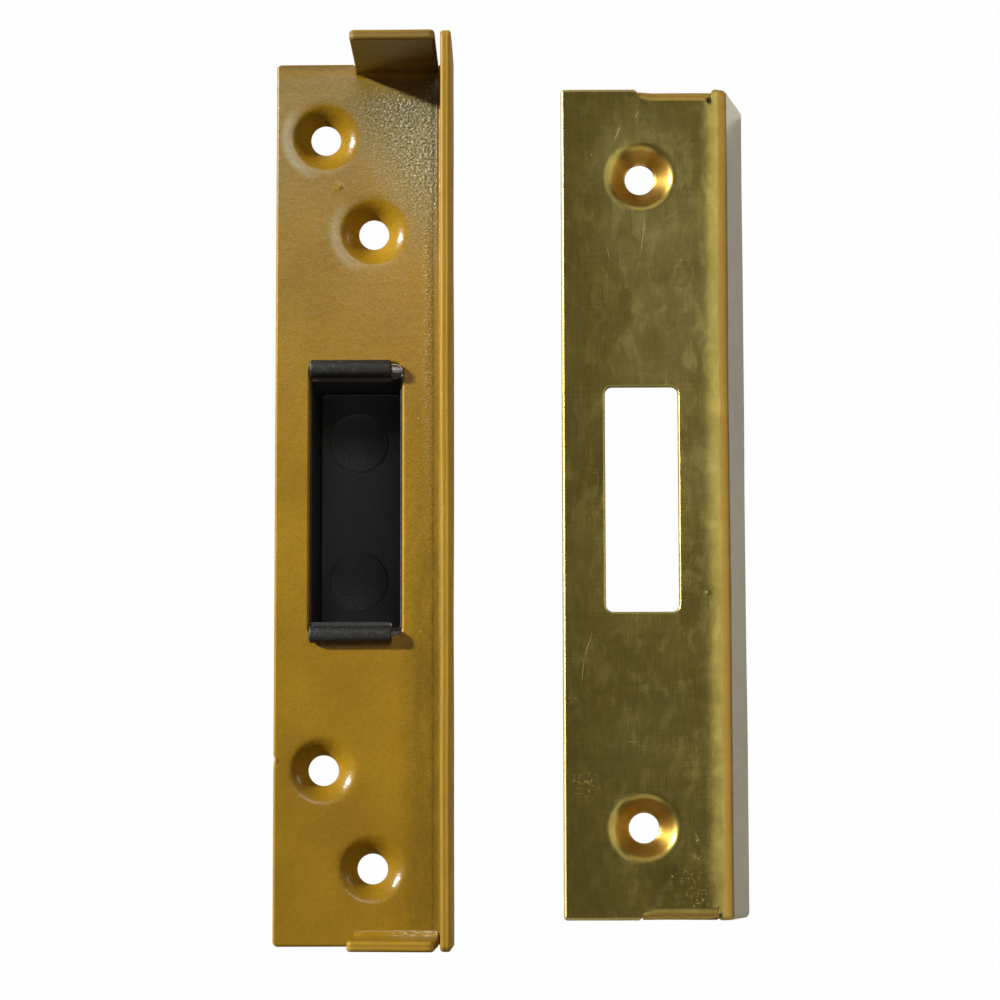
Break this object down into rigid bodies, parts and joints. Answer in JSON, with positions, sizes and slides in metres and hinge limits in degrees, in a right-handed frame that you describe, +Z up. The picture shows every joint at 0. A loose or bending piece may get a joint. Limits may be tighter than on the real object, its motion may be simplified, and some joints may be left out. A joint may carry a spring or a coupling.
{
  "type": "rebate kit for a mortice deadlock",
  "caption": "Rebate kit for a mortice deadlock: folded gold-painted steel strike with a push-in black plastic dust socket, beside a folded brass forend cover with a bolt window.",
  "frame": {"origin": "bottom centre of the whole set's bounding box, on the surface the set lies on", "axes": "+X across the plates from the strike to the forend cover, +Y along the plates, +Z up out of the plate faces"},
  "size_m": [0.0674, 0.125, 0.0335],
  "materials": {
    "gold_paint": "gloss mustard-gold stove paint on pressed steel, light orange peel",
    "black_plastic": "matte black moulded plastic with a fine grain",
    "brass": "brushed brass, lightly tarnished and scratched"
  },
  "bodies": {
    "strike": {"strike_plate": "gold_paint"},
    "socket": {"dust_socket": "black_plastic"},
    "forend": {"forend_cover": "brass"}
  },
  "joints": [
    {"name": "dust_socket_slide", "type": "slide", "parent": "strike", "child": "socket", "axis": [0, 0, 1], "range_m": [0, 0.018]},
    {"name": "forend_lift", "type": "slide", "parent": "strike", "child": "forend", "axis": [0, 0, 1], "range_m": [0, 0.05]}
  ]
}
